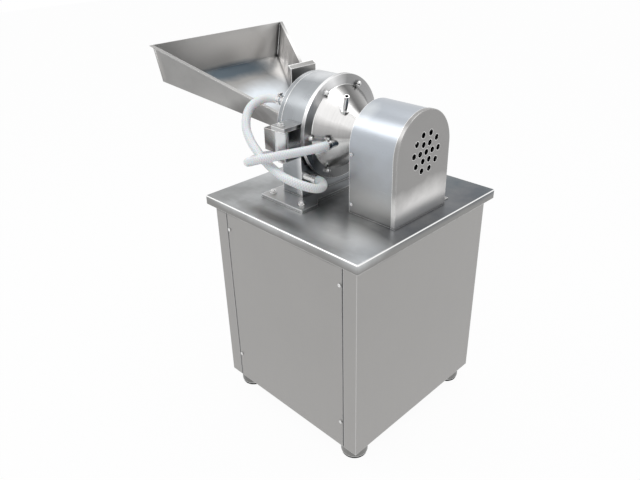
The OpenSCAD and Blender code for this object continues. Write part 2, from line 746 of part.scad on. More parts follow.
module base_bolts() color(polished) base_bolt_places() {
    bar_z(base_nut_d + 4, table_h + base_t, table_h + base_t + base_washer_t, 0, 0);
    hex_z(base_nut_d, table_h + base_t + base_washer_t, table_h + base_t + base_washer_t + base_nut_h, 0, 0);
    bar_z(base_bolt_d, wall_top, table_h + base_t + base_washer_t + base_nut_h + 2, 0, 0);
    hex_z(base_nut_d, wall_top - base_nut_h - 2, wall_top, 0, 0);
}

module bolt_places() {
    for (i = [0:bolt_count - 1]) rotate_about_shaft(i * 360 / bolt_count)
        translate([0, shaft_y + bolt_ring_r, axis_z]) children();
}

module rotate_about_shaft(a) {
    translate([0, shaft_y, axis_z]) rotate([a, 0, 0]) translate([0, -shaft_y, -axis_z]) children();
}

module housing() color(steel) difference() {
    union() {
        along_x(drum_front, pedestal_back) arch(drum_r, axis_z, table_h + base_t);
        bar_x(2 * drum_r, drum_front, drum_back, shaft_y, axis_z);
    }
    bar_x(2 * bore_r, drum_front - 1, drum_back + 1, shaft_y, axis_z);
    block([chute_x0, shaft_y - chute_w / 2, table_h], [chute_x1, shaft_y + chute_w / 2, axis_z - bore_r / 2]);
    bolt_places() bar_x(cover_bolt_d, drum_back - 16, drum_back + 1, 0, 0);
    bar_x(nipple_d, pedestal_back - 20, pedestal_back + 1, upper_end[1], table_h + upper_end[2]);
}

module rear_cover() color(steel) difference() {
    bar_x(2 * cover_r, drum_back, cover_back, shaft_y, axis_z);
    bar_x(shaft_d + 1, drum_back - 1, cover_back + 1, shaft_y, axis_z);
    bolt_places() bar_x(cover_bolt_d, drum_back - 1, cover_back + 1, 0, 0);
}

// The water jacket's outer form, a cone that narrows from the cover to the bearing tube
module jacket_cone(r0, r1) {
    turned(0, shaft_y, axis_z) polygon([[0, cover_back], [r0, cover_back], [r1, jacket_back], [0, jacket_back]]);
}

module water_jacket() color(polished) difference() {
    jacket_cone(jacket_r, neck_r);
    translate([-1, 0, 0]) jacket_cone(jacket_r - jacket_wall, neck_r - jacket_wall);
    bar_x(bearing_tube_d, cover_back - 1, jacket_back + 1, shaft_y, axis_z);
}

module cover_bolts() color(polished) bolt_places() {
    bar_x(cover_bolt_d, drum_back - 16, cover_back, 0, 0);
    hex_x(13, cover_back, cover_back + 7, 0, 0);
    translate([cover_back + 7, 0, 0]) intersection() {
        sphere(5.5);
        block([0, -6, -6], [6, 6, 6]);
    }
}

module sieve_ring() color(steel) difference() {
    bar_x(2 * (sieve_r + sieve_t), sieve_front, drum_back, shaft_y, axis_z);
    bar_x(2 * sieve_r, sieve_front - 1, drum_back + 1, shaft_y, axis_z);
    for (row = [0:2], i = [0:sieve_hole_count - 1])
        rotate_about_shaft((i + row / 2) * 360 / sieve_hole_count)
            bar_z(sieve_hole_d, axis_z + sieve_r - 3, axis_z + sieve_r + sieve_t + 3,
                sieve_front + 18 + 18 * row, shaft_y);
}

// A ring of milling pins, which starts at x0 and ends at x1
module pin_ring(r, count, x0, x1) {
    for (i = [0:count - 1]) rotate_about_shaft(i * 360 / count)
        bar_x(pin_d, x0, x1, shaft_y, axis_z + r);
}

// The pins are pressed through the discs, those of the door between those of the rotor
module rotor_pin_rings(x1) {
    pin_ring(first_ring_r, 8, rotor_front - pin_len, x1);
    pin_ring(first_ring_r + 2 * ring_pitch, 14, rotor_front - pin_len, x1);
}

module door_pin_rings(x0) {
    pin_ring(first_ring_r + ring_pitch, 12, x0, door_back + disc_t + pin_len);
    pin_ring(first_ring_r + 3 * ring_pitch, 18, x0, door_back + disc_t + pin_len);
}

module rotor() color(polished) difference() {
    union() {
        bar_x(2 * rotor_r, rotor_front, rotor_back, shaft_y, axis_z);
        bar_x(2 * hub_r, rotor_back, hub_back, shaft_y, axis_z);
    }
    bar_x(shaft_d, rotor_front - 1, hub_back + 1, shaft_y, axis_z);
    rotor_pin_rings(rotor_back + 1);
}

module rotor_pins() color(polished) rotor_pin_rings(rotor_back);

module pin_disc() color(polished) difference() {
    bar_x(2 * (first_ring_r + 3 * ring_pitch + pin_d), door_back, door_back + disc_t, shaft_y, axis_z);
    bar_x(2 * (first_ring_r + ring_pitch - pin_d / 2 - 2), door_back - 1, door_back + disc_t + 1, shaft_y, axis_z);
    door_pin_rings(door_back - 1);
}

module door_pins() color(polished) door_pin_rings(door_back);

module open_nipple() difference() {
    union() {
        bar_z(nipple_d, -16, open_nipple_len, 0, 0);
        bar_z(nipple_d + 7, -16, 5, 0, 0);
    }
    bar_z(nipple_d - 3, 12, open_nipple_len + 1, 0, 0);
}

// Water nipples on the fixed part: the open one, the jacket's outlet and the pedestal's outlet
module mill_nipples() color(polished) {
    difference() {
        translate([open_nipple_x, open_nipple_y, open_nipple_z]) rotate([0, open_nipple_tilt, open_nipple_turn])
            open_nipple();
        jacket_cone(jacket_r, neck_r);
    }
    difference() {
        bar_y(hose_d - 2, lower_start[1], shaft_y - 40, lower_start[0], table_h + lower_start[2]);
        jacket_cone(jacket_r, neck_r);
    }
    bar_x(nipple_d, pedestal_back - 12, pedestal_back, upper_end[1], table_h + upper_end[2]);
    bar_x(hose_d - 2, pedestal_back, upper_end[0], upper_end[1], table_h + upper_end[2]);
}

module hose_clamp() difference() {
    union() {
        bar_x(hose_d + 2 * face_gap + 2, 0, clamp_w, 0, 0);
        block([1, -4, hose_d / 2], [clamp_w - 1, 4, hose_d / 2 + 7]);
        bar_y(5, -8, 8, clamp_w / 2, hose_d / 2 + 5);
    }
    bar_x(hose_d + 2 * face_gap, -1, clamp_w + 1, 0, 0);
}

module mill_hose_clamps() color(polished) {
    translate([lower_start[0], lower_start[1] - 2, table_h + lower_start[2]])
        rotate([0, 0, -90]) hose_clamp();
    translate([upper_end[0] + 2, upper_end[1], table_h + upper_end[2]]) rotate([180, 0, 0]) hose_clamp();
}

// Door

module door() color(steel) difference() {
    union() {
        bar_x(2 * drum_r, door_front, door_back, shaft_y, axis_z);
        block([door_front, shaft_y, axis_z - door_ear_h / 2], [door_back, door_ear_y, axis_z + door_ear_h / 2]);
    }
    bar_x(inlet_d, door_front - 1, door_back + 1, shaft_y, inlet_z);
    turned(door_back - gasket_t, shaft_y, axis_z) translate([gasket_r, 0]) square([gasket_w, gasket_t + 1]);
    block([door_front - 1, clamp_y - clamp_shank_d / 2 - 2, axis_z - clamp_shank_d / 2 - 2],
        [door_back + 1, door_ear_y + 1, axis_z + clamp_shank_d / 2 + 2]);
    for (p = [upper_start, lower_end]) bar_x(nipple_d, door_front - 1, door_front + 8, p[1], table_h + p[2]);
}

module door_gasket() color(rubber)
    turned(door_back - gasket_t, shaft_y, axis_z) translate([gasket_r, 0]) square([gasket_w, gasket_t]);

module door_nipples() color(polished) for (p = [upper_start, lower_end]) {
    bar_x(nipple_d, door_front, door_front + 8, p[1], table_h + p[2]);
    bar_x(hose_d - 2, p[0], door_front, p[1], table_h + p[2]);
}

module door_hose_clamps() color(polished) for (p = [upper_start, lower_end])
    translate([p[0] - 2 - clamp_w, p[1], table_h + p[2]]) hose_clamp();

// Hinge

module lug(z0) {
    rounded_plate([lug_x0, hinge_y - barrel_d / 2 + 1], [lug_x1, shaft_y - drum_r + lug_root], lug_corner_r,
        z0, z0 + hinge_plate_t);
}

module hinge_bracket() color(steel) difference() {
    union() {
        lug(lug_top - hinge_plate_t);
        lug(lug_bottom);
    }
    along_x(drum_front - 1, drum_back + 1) arch(drum_r, axis_z, table_h);
    bar_z(hinge_pin_d, lug_bottom - 1, lug_top + 1, hinge_x, hinge_y);
}

module hinge_pin() color(polished) {
    bar_z(hinge_pin_d, lug_bottom - pin_nut_h - 2, lug_top, hinge_x, hinge_y);
    bar_z(1.3 * hinge_pin_d, lug_top, lug_top + 2, hinge_x, hinge_y);
    hex_z(0.9 * hinge_pin_d, lug_top + 2, lug_top + pin_nut_h, hinge_x, hinge_y);
    difference() {
        hex_z(1.5 * hinge_pin_d, lug_bottom - pin_nut_h, lug_bottom, hinge_x, hinge_y);
        bar_z(hinge_pin_d, lug_bottom - pin_nut_h - 1, lug_bottom + 1, hinge_x, hinge_y);
    }
}

// The leaf runs from the barrel to the door's rim and is flush with the door's outer face
module hinge_leaf() color(steel) difference() {
    union() {
        bar_z(barrel_d, axis_z + barrel_bottom, axis_z + barrel_top, hinge_x, hinge_y);
        block([door_front, leaf_y0, leaf_bottom], [hinge_x, leaf_y1, leaf_top]);
        block([door_front, leaf_y0, leaf_bottom], [door_back, shaft_y - drum_r + lug_root, leaf_top]);
    }
    bar_z(hinge_pin_d + 2 * running_gap, axis_z + barrel_bottom - 1, axis_z + barrel_top + 1, hinge_x, hinge_y);
    bar_x(2 * drum_r, door_front - 1, door_back + 1, shaft_y, axis_z);
}

// Tray, spout and gate

// Half width and height of the tray at a share of its length, 0 at the far end
function mix(a, b, t) = a + (b - a) * t;
function rim_half(t) = mix(tray_end_w, throat_w, t) / 2;
function floor_half(t) = mix(tray_floor_w, throat_floor_w, t) / 2;
function rim_z(t) = throat_rim_z + rim_drop * (1 - t);
function floor_z(t) = rim_z(t) - mix(tray_end_depth, throat_depth, t);

// Outline of the sheet across the tray, from one lip to the other
function tray_half(t) = [[floor_half(t), floor_z(t)], [rim_half(t), rim_z(t) - sheet_t],
    [rim_half(t) + tray_lip, rim_z(t) - sheet_t], [rim_half(t) + tray_lip, rim_z(t)],
    [rim_half(t) - sheet_t, rim_z(t)], [floor_half(t) - sheet_t, floor_z(t) + sheet_t]];
function tray_ring(t) = let (half = tray_half(t)) concat(
    [for (p = half) [guide_front - tray_len * (1 - t), tray_y + p[0], p[1]]],
    [for (i = [5:-1:0]) [guide_front - tray_len * (1 - t), tray_y - half[i][0], half[i][1]]]);

// A closed skin over rings of equal length, with a flat face at each end. A quad's diagonal goes from
// its far corner to its near one, and the other way on the sides that crossed lists
module skin(rings, crossed = []) {
    sides = len(rings[0]);
    last = len(rings) - 1;
    swap = [for (i = [0:sides - 1]) len([for (side = crossed) if (side == i) side]) > 0];
    faces = concat([[for (i = [0:sides - 1]) i]],
        [for (k = [0:last - 1], i = [0:sides - 1]) let (j = (i + 1) % sides)
            [k * sides + j, k * sides + i, (k + 1) * sides + (swap[i] ? j : i)]],
        [for (k = [0:last - 1], i = [0:sides - 1]) let (j = (i + 1) % sides)
            [k * sides + (swap[i] ? i : j), (k + 1) * sides + i, (k + 1) * sides + j]],
        [[for (i = [sides - 1:-1:0]) last * sides + i]]);
    polyhedron([for (ring = rings) each ring], faces);
}

// A closed skin over rings that join up, last to first
module closed_skin(rings) {
    sides = len(rings[0]);
    count = len(rings);
    faces = [for (k = [0:count - 1], i = [0:sides - 1]) let (j = (i + 1) % sides, next = (k + 1) % count)
        [k * sides + i, next * sides + i, next * sides + j, k * sides + j]];
    polyhedron([for (ring = rings) each ring], faces);
}

module tray_wall(t, x0, x1) {
    along_x(x0, x1) translate([tray_y, 0]) polygon([[-floor_half(t), floor_z(t)], [floor_half(t), floor_z(t)],
        [rim_half(t), rim_z(t)], [-rim_half(t), rim_z(t)]]);
}

module feed_tray() color(steel) {
    skin([for (k = [0:tray_stations]) tray_ring(k / tray_stations)], crossed = [4, 10]);
    tray_wall(0, tray_end_x, tray_end_x + sheet_t);
    difference() {
        tray_wall(1, guide_front - sheet_t, guide_front);
        block([guide_front - sheet_t - 1, shaft_y - gate_w / 2 + guide_leg, throat_floor_z + sheet_t],
            [guide_front + 1, shaft_y + gate_w / 2 - guide_leg, throat_rim_z + 1]);
    }
}

module feed_spout() color(steel) {
    difference() {
        block([guide_front + guide_w, shaft_y - inlet_d / 2 - sheet_t, duct_floor_z],
            [door_front, shaft_y + inlet_d / 2 + sheet_t, duct_roof_z]);
        block([guide_front + guide_w - 1, shaft_y - inlet_d / 2, duct_floor_z + sheet_t],
            [door_front + 1, shaft_y + inlet_d / 2, duct_roof_z - sheet_t]);
    }
    for (s = [-1, 1]) difference() {
        block([guide_front, min(s * (gate_w / 2 - guide_leg), s * (gate_w / 2 + guide_leg)) + shaft_y, duct_floor_z],
            [guide_front + guide_w, max(s * (gate_w / 2 - guide_leg), s * (gate_w / 2 + guide_leg)) + shaft_y,
                guide_top]);
        block([gate_x - gate_slot / 2, shaft_y - gate_w / 2 - face_gap, duct_floor_z + sheet_t],
            [gate_x + gate_slot / 2, shaft_y + gate_w / 2 + face_gap, guide_top + 1]);
    }
    block([guide_front, shaft_y - gate_w / 2 + guide_leg, duct_floor_z],
        [guide_front + guide_w, shaft_y + gate_w / 2 - guide_leg, duct_floor_z + sheet_t]);
}

module feed_gate() color(steel) {
    block([gate_x - gate_t / 2, shaft_y - gate_w / 2, gate_bottom],
        [gate_x + gate_t / 2, shaft_y + gate_w / 2, gate_bottom + gate_h]);
    translate([0, shaft_y + gate_w / 2, gate_bottom + gate_h]) rotate([90, 0, 0]) linear_extrude(gate_w)
        polygon([[gate_x + gate_t / 2, -gate_t], [gate_x + gate_t / 2, 0], [gate_x - gate_lip, gate_lip / 2 + gate_t],
            [gate_x - gate_lip, gate_lip / 2], [gate_x - gate_t / 2, -gate_t]]);
}

// Clamp on the far side

module clamp_bracket() color(steel) difference() {
    union() {
        for (s = [0, 1]) translate([0, 0, axis_z]) mirror([0, 0, s])
            block([clamp_x - 16, shaft_y + drum_r - 20, clamp_eye_h / 2 + face_gap],
                [clamp_x + 16, clamp_y + 14, clamp_eye_h / 2 + face_gap + clamp_lug_t]);
        block([clamp_x - 16, shaft_y + drum_r - 20, axis_z - clamp_eye_h],
            [clamp_x + 16, shaft_y + drum_r + 6, axis_z + clamp_eye_h]);
    }
    along_x(drum_front - 1, drum_back + 1) arch(drum_r, axis_z, table_h);
    bar_z(clamp_pin_d, axis_z - 40, axis_z + 40, clamp_x, clamp_y);
}

module clamp_pin() color(polished) {
    bar_z(clamp_pin_d, axis_z - clamp_eye_h / 2 - clamp_lug_t - 5, axis_z + clamp_eye_h / 2 + clamp_lug_t + face_gap,
        clamp_x, clamp_y);
    bar_z(clamp_pin_d + 6, axis_z + clamp_eye_h / 2 + clamp_lug_t + face_gap,
        axis_z + clamp_eye_h / 2 + clamp_lug_t + 4, clamp_x, clamp_y);
}

module clamp_bolt() color(polished) difference() {
    union() {
        bar_z(2 * clamp_eye_r, axis_z - clamp_eye_h / 2, axis_z + clamp_eye_h / 2, clamp_x, clamp_y);
        bar_x(clamp_shank_d, shank_end, clamp_x, clamp_y, axis_z);
    }
    bar_z(clamp_pin_d + 2 * running_gap, axis_z - 40, axis_z + 40, clamp_x, clamp_y);
}

module clamp_knob() color(rubber) difference() {
    union() {
        bar_x(2 * knob_hub_r, door_front - face_gap - knob_t - 8, door_front - face_gap, clamp_y, axis_z);
        for (a = [0:72:288]) translate([0, clamp_y, axis_z]) rotate([a, 0, 0])
            bar_x(18, door_front - face_gap - knob_t - 5, door_front - face_gap - 9, 0, knob_r - 9);
        bar_x(2 * knob_r - 12, door_front - face_gap - knob_t - 6, door_front - face_gap - 8, clamp_y, axis_z);
    }
    bar_x(clamp_shank_d + 2 * running_gap, door_front - 60, door_front + 1, clamp_y, axis_z);
}

// Discharge

module discharge_duct() color(steel) difference() {
    block([duct_x0, shaft_y - duct_w / 2, duct_bottom], [duct_x1, shaft_y + duct_w / 2, table_h]);
    block([chute_x0, shaft_y - chute_w / 2, duct_bottom + sheet_t], [chute_x1, shaft_y + chute_w / 2, table_h + 1]);
    bar_x(duct_w - 12, duct_x0 - 1, duct_x0 + sheet_t + 1, shaft_y, spout_h);
}

module bag_spout() color(steel) difference() {
    union() {
        bar_x(spout_d, spout_end, -cabinet_w / 2 - sheet_t, shaft_y, spout_h);
        bar_x(spout_pipe_d, -cabinet_w / 2 - sheet_t, duct_x0 - 20, shaft_y, spout_h);
        bar_x(spout_d + 20, -cabinet_w / 2 - sheet_t, -cabinet_w / 2, shaft_y, spout_h);
        bar_x(duct_w, duct_x0 - 22, duct_x0, shaft_y, spout_h);
    }
    bar_x(spout_pipe_d - 2 * sheet_t, spout_end - 1, duct_x0 - 20 - sheet_t, shaft_y, spout_h);
    bar_x(duct_w - 12, duct_x0 - 40, duct_x0 + 1, shaft_y, spout_h);
}

// Switches on the operator's side

module button_places() {
    for (s = [-1, 1]) translate([0, switch_y, switch_z + s * button_pitch / 2]) children();
}

module switch_box() color(paint) difference() {
    union() {
        block([-cabinet_w / 2 - switch_t, switch_y - switch_w / 2, switch_z - switch_h / 2],
            [-cabinet_w / 2, switch_y + switch_w / 2, switch_z + switch_h / 2]);
        button_places() bar_x(button_d + 8, -cabinet_w / 2 - switch_t - 5, -cabinet_w / 2 - switch_t, 0, 0);
    }
    block([-cabinet_w / 2 - switch_t + 3, switch_y - switch_w / 2 + 3, switch_z - switch_h / 2 + 3],
        [-cabinet_w / 2 - 3, switch_y + switch_w / 2 - 3, switch_z + switch_h / 2 - 3]);
    button_places() bar_x(button_d + 2 * running_gap, -cabinet_w / 2 - switch_t - 6, -cabinet_w / 2 - switch_t + 4, 0, 0);
}

module button(s) {
    translate([0, switch_y, switch_z + s * button_pitch / 2])
        bar_x(button_d, -cabinet_w / 2 - switch_t - button_stand, -cabinet_w / 2 - switch_t + 5, 0, 0);
}

module start_button() color([0.1, 0.5, 0.2]) button(1);
module stop_button() color([0.7, 0.1, 0.1]) button(-1);

// Hoses

function unit(v) = v / norm(v);

// Direction of a route at each point, straight at both ends
function heading(route, i) = let (n = len(route) - 1)
    i == 0 ? unit(route[1] - route[0])
    : i == n ? unit(route[n] - route[n - 1])
    : unit(unit(route[i] - route[i - 1]) + unit(route[i + 1] - route[i]));

// Carries a side direction along the route without twist
function carried(side, heading) = unit(side - (side * heading) * heading);
function sides_along(route, side, i = 0) = let (now = carried(side, heading(route, i)))
    i == len(route) - 1 ? [now] : concat([now], sides_along(route, now, i + 1));

module hose(route) {
    lifted = [for (p = route) p + [0, 0, table_h]];
    side = sides_along(lifted, [0, 0, 1]);
    step = 360 / hose_sides;
    skin([for (i = [0:len(lifted) - 1]) let (a = side[i], b = cross(heading(lifted, i), a))
        [for (k = [0:hose_sides - 1]) lifted[i] + hose_d / 2 * (cos(-k * step) * a + sin(-k * step) * b)]]);
}

module hose_upper() color(hose_white) hose(hose_upper_route);
module hose_lower() color(hose_white) hose(hose_lower_route);

place() frame();
place() side_sheet_left();
place() side_sheet_right();
place() front_panel();
place() rear_panel();
place() panel_screws();
place() table_top();
place() foot_cups();
place() foot_rubbers();
place() cable_gland();
place() motor_plate();
place() motor_body();
place() motor_shaft();
place() motor_pulley();
place() v_belts();
place() mill_pulley();
place() main_shaft();
place() bearing_tube();
place() bearings();
place() shaft_nuts();
place() belt_guard();
place() guard_end_plate();
place() guard_back_plate();
place() guard_screws();
place() base_plate();
place() base_bolts();
place() housing();
place() rear_cover();
place() water_jacket();
place() cover_bolts();
place() sieve_ring();
place() rotor();
place() rotor_pins();
place() mill_nipples();
place() mill_hose_clamps();
place() door();
place() door_gasket();
place() pin_disc();
place() door_pins();
place() door_nipples();
place() door_hose_clamps();
place() hinge_bracket();
place() hinge_pin();
place() hinge_leaf();
place() feed_tray();
place() feed_spout();
place() feed_gate();
place() clamp_bracket();
place() clamp_pin();
place() clamp_bolt();
place() clamp_knob();
place() discharge_duct();
place() bag_spout();
place() switch_box();
place() start_button();
place() stop_button();
place() hose_upper();
place() hose_lower();
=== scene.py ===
# %% [markdown]
# This lesson dresses a water-cooled pin mill that stands on a closed steel cabinet.
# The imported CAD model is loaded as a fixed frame. Its parts stay where they are and as large as they are.
# We only give them finishes, and we model the soft and hand-made pieces: hoses, weld beads and grain.

# %% Load the frame
import bpy
import bmesh
from math import radians, pi, cos
from mathutils import Vector, Matrix


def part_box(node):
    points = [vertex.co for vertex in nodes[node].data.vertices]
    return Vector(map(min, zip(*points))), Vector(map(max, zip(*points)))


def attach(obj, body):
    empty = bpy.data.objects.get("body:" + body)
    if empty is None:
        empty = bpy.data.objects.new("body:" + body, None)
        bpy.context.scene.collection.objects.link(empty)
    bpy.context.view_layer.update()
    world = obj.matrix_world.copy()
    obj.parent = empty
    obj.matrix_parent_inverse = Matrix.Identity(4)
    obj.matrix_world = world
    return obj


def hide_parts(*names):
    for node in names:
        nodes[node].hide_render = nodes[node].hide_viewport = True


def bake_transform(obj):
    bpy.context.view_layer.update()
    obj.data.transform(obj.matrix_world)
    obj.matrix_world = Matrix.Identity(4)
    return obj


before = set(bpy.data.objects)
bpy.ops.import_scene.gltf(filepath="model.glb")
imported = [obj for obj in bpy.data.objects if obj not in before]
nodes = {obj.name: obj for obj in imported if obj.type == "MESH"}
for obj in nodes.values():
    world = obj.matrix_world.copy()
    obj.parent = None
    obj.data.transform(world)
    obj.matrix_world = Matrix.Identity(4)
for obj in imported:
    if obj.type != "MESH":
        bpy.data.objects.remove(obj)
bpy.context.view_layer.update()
print("parts in the frame:", len(nodes))

# %% [markdown]
# The camera stands where the photographer stood. Its place and angles were solved from the square table,
# so a straight edge of the table in the picture lies on the same edge of the model.
# The lens is given as a focal length on a 36 mm wide sensor, the way Blender's camera takes it.

# %% Camera
camera_place = (1.16496, -1.13516, 1.32222)
camera_turn = 45.669
camera_elevation = 28.379
camera_roll = -1.441
lens_mm = 35.176
sensor_mm = 36

camera_data = bpy.data.cameras.new("photo_camera")
camera_data.lens = lens_mm
camera_data.sensor_width = sensor_mm
camera = bpy.data.objects.new("photo_camera", camera_data)
bpy.context.scene.collection.objects.link(camera)
camera.matrix_world = (Matrix.Translation(camera_place)
    @ Matrix.Rotation(radians(camera_turn), 4, "Z")
    @ Matrix.Rotation(radians(90 - camera_elevation), 4, "X")
    @ Matrix.Rotation(radians(camera_roll), 4, "Z"))
bpy.context.scene.camera = camera
print("camera height:", camera_place[2])

# %% [markdown]
# Each hose is a fixed length of braided plastic tube. Its route is a list of given points, the same ones as
# in the CAD source, with X moved into the shared frame and heights above the table top.
# A smooth curve runs through them. We turn the curve into a mesh tube.

# %% Hose routes
shift_x = 0.12235
table_top_z = 0.635
hose_radius = 0.0115
hose_upper_route = [(-158, -86, 239), (-182, -86, 239), (-203, -96, 239), (-217, -114, 234),
    (-223, -135, 224), (-220, -153, 210), (-211, -167, 194), (-198, -178, 176), (-181, -185, 161),
    (-162, -190, 147), (-142, -194, 137), (-121, -198, 126), (-99, -201, 118), (-77, -203, 110),
    (-54, -205, 104), (-31, -208, 100), (-8, -207, 97), (13, -199, 91), (29, -184, 83),
    (36, -163, 74), (33, -140, 68), (19, -120, 65), (-1, -108, 65), (-25, -108, 65)]
hose_lower_route = [(5, -80, 157), (5, -97, 157), (-1, -114, 156), (-11, -131, 153),
    (-21, -147, 151), (-32, -164, 149), (-42, -182, 148), (-55, -198, 145), (-70, -211, 141),
    (-87, -222, 136), (-106, -227, 129), (-125, -226, 121), (-143, -220, 113), (-159, -211, 106),
    (-175, -200, 98), (-190, -187, 91), (-203, -173, 84), (-213, -156, 80), (-219, -137, 80),
    (-219, -117, 80), (-211, -98, 80), (-197, -83, 80), (-179, -76, 80), (-158, -76, 80)]


def in_frame(route):
    """The route's points in metres, in the shared frame."""
    return [Vector((x / 1000 + shift_x, y / 1000, table_top_z + z / 1000)) for x, y, z in route]


def smooth_path(points, steps=5):
    """More points along a smooth curve through the given ones."""
    ends = [2 * points[0] - points[1]] + points + [2 * points[-1] - points[-2]]
    path = []
    for a, b, c, d in zip(ends, ends[1:], ends[2:], ends[3:]):
        for step in range(steps):
            t = step / steps
            path.append(0.5 * (2 * b + (c - a) * t + (2 * a - 5 * b + 4 * c - d) * t ** 2
                + (3 * b - a - 3 * c + d) * t ** 3))
    return path + [points[-1]]


upper_path = smooth_path(in_frame(hose_upper_route))
lower_path = smooth_path(in_frame(hose_lower_route))
print("points on the hoses:", len(upper_path), len(lower_path))

# %% [markdown]
# A tube is a row of circles that stand along the path. A bmesh operator makes each circle, and another one
# bridges it to the circle before. Each takes its sideways direction over from the last, so nothing twists.
# Each loop also gets a UV: how far round the hose, and how far along it in metres, which the braid needs.

# %% Hose tube
hose_sides = 24


def ring_turn(direction, side):
    """A rotation whose Z axis is the direction and whose X axis stays close to the side."""
    side = (side - side.dot(direction) * direction).normalized()
    return Matrix((side, direction.cross(side), direction)).transposed(), side


def bridge_rings(shape, rings):
    """Joins each ring of vertices to the next one with a band of faces."""
    for near, far in zip(rings, rings[1:]):
        edges = list({edge for vert in near + far for edge in vert.link_edges
            if all(v in near for v in edge.verts) or all(v in far for v in edge.verts)})
        bmesh.ops.bridge_loops(shape, edges=edges)


def to_object(name, shape):
    """Turns the finished shape into an object of the scene, with its normals outwards."""
    bmesh.ops.recalc_face_normals(shape, faces=shape.faces)
    mesh = bpy.data.meshes.new(name)
    shape.to_mesh(mesh)
    shape.free()
    made = bpy.data.objects.new(name, mesh)
    bpy.context.scene.collection.objects.link(made)
    return made


def hose_tube(name, path, radius):
    """A closed tube along the path, and its length in metres."""
    shape = bmesh.new()
    uv_layer = shape.loops.layers.uv.new("braid")
    side = Vector((0, 0, 1)) if abs((path[1] - path[0]).normalized().z) < 0.9 else Vector((1, 0, 0))
    rings = []
    lengths = [0.0]
    for i, point in enumerate(path):
        before, after = path[max(i - 1, 0)], path[min(i + 1, len(path) - 1)]
        if i:
            lengths.append(lengths[-1] + (point - path[i - 1]).length)
        turn, side = ring_turn((after - before).normalized(), side)
        ring = bmesh.ops.create_circle(shape, segments=hose_sides, radius=radius,
            matrix=Matrix.Translation(point) @ turn.to_4x4())["verts"]
        rings.append(ring)
    bridge_rings(shape, rings)
    place = {vert: (i, k) for i, ring in enumerate(rings) for k, vert in enumerate(ring)}
    for face in shape.faces:
        face.smooth = True
        turns = [place[loop.vert][1] for loop in face.loops]
        wraps = max(turns) - min(turns) > 1
        for loop in face.loops:
            i, k = place[loop.vert]
            loop[uv_layer].uv = ((k + hose_sides if wraps and k == 0 else k) / hose_sides, lengths[i])
    for ring in (rings[0], rings[-1]):
        bmesh.ops.contextual_create(shape, geom=ring)
    hose = to_object(name, shape)
    print(name, "length", round(lengths[-1], 3))
    return hose, lengths[-1]


hose_upper, upper_length = hose_tube("hose_upper_tube", upper_path, hose_radius)
hose_lower, lower_length = hose_tube("hose_lower_tube", lower_path, hose_radius)

# %% [markdown]
# The CAD hoses are hidden, and the tubes stay where they are in the shared frame.

# %% Hoses in place of the CAD ones
for hose, path, length, node in ((hose_upper, upper_path, upper_length, "hose_upper"),
        (hose_lower, lower_path, lower_length, "hose_lower")):
    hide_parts(node)
    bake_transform(hose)

# %% [markdown]
# The finishes are built from shader nodes. Writing the maths as Python expressions keeps them readable,
# so one small class wraps a socket and adds the Math node that an operator stands for.

# %% Shader expressions
# Corners get painted shade of this colour, at this share.
corner_shade_color = (0.05, 0.052, 0.055)
corner_shade_share = 0.85


class Value:
    """A number from a node, which takes Python's operators."""

    def __init__(self, finish, socket):
        self.finish = finish
        self.socket = socket

    def math(self, operation, first, second):
        return self.finish.node("ShaderNodeMath", {"operation": operation}, {0: first, 1: second})["Value"]

    def __add__(self, other):
        return self.math("ADD", self, other)

    def __sub__(self, other):
        return self.math("SUBTRACT", self, other)

    def __rsub__(self, other):
        return self.math("SUBTRACT", other, self)

    def __mul__(self, other):
        return self.math("MULTIPLY", self, other)

    def __truediv__(self, other):
        return self.math("DIVIDE", self, other)

    def __pow__(self, other):
        return self.math("POWER", self, other)


